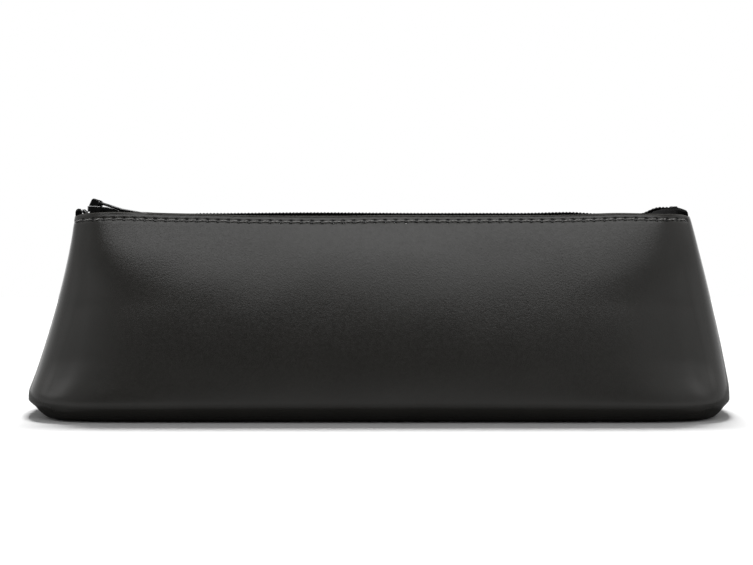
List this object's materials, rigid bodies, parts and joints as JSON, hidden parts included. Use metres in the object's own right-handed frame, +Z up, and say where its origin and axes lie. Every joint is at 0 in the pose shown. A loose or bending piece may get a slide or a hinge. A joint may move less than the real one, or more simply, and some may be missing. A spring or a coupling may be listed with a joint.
{
  "type": "pencil case",
  "caption": "Triangular leather pencil case with a wide flat base and a coil zip along its narrow mouth; the slider runs along the zip and its pull swings.",
  "frame": {"origin": "middle of the bounding box at the flat base that rests on the table", "axes": "+X along the zip toward the picture's right, -Y out of the front panel, +Z up"},
  "size_m": [0.239, 0.066, 0.073],
  "materials": {
    "leather": "soft semi-matt grain",
    "tape": "woven",
    "coil": "nylon",
    "metal": "black satin",
    "thread": "twisted thread"
  },
  "bodies": {
    "pouch": {"front_panel": "leather", "back_panel": "leather", "top_stop_front": "metal", "top_stop_back": "metal", "top_stitch_front": "thread", "top_stitch_back": "thread", "end_seam_thread_left": "thread", "end_seam_thread_right": "thread", "corner_seam_thread_left": "thread", "corner_seam_thread_right": "thread", "base_seam_thread": "thread"},
    "slider": {"slider_body": "metal", "slider_cap": "metal", "lock_pawl": "metal"},
    "pull": {"pull_tab": "metal"},
    "zip_front": {"zip_tape_front": "tape", "zip_coil_front": "coil", "coil_cord_front": "tape"},
    "zip_back": {"zip_tape_back": "tape", "zip_coil_back": "coil", "coil_cord_back": "tape"},
    "zip_end": {"bottom_stop": "metal"}
  },
  "joints": [
    {"name": "slider_run", "type": "slide", "parent": "pouch", "child": "slider", "axis": [1, 0, 0], "range_m": [0, 0.18]},
    {"name": "pull_swing", "type": "hinge", "parent": "slider", "child": "pull", "pos_m": [-0.0956, 0, 0.0716], "axis": [0, -1, 0], "range_deg": [0, 190]},
    {"name": "front_half_parting", "type": "slide", "parent": "pouch", "child": "zip_front", "axis": [0, -1, 0], "range_m": [0, 0.009], "deforming": ["zip_tape_front", "zip_coil_front", "coil_cord_front"]},
    {"name": "back_half_parting", "type": "slide", "parent": "pouch", "child": "zip_back", "axis": [0, 1, 0], "range_m": [0, 0.009], "deforming": ["zip_tape_back", "zip_coil_back", "coil_cord_back"]},
    {"name": "chain_end_settle", "type": "slide", "parent": "pouch", "child": "zip_end", "axis": [0, 0, -1], "range_m": [0, 0.0034]}
  ],
  "couplings": [
    {"joint": "front_half_parting", "follows": "slider_run", "ratio": 0.05},
    {"joint": "back_half_parting", "follows": "slider_run", "ratio": 0.05},
    {"joint": "chain_end_settle", "follows": "slider_run", "ratio": 0.01833}
  ]
}
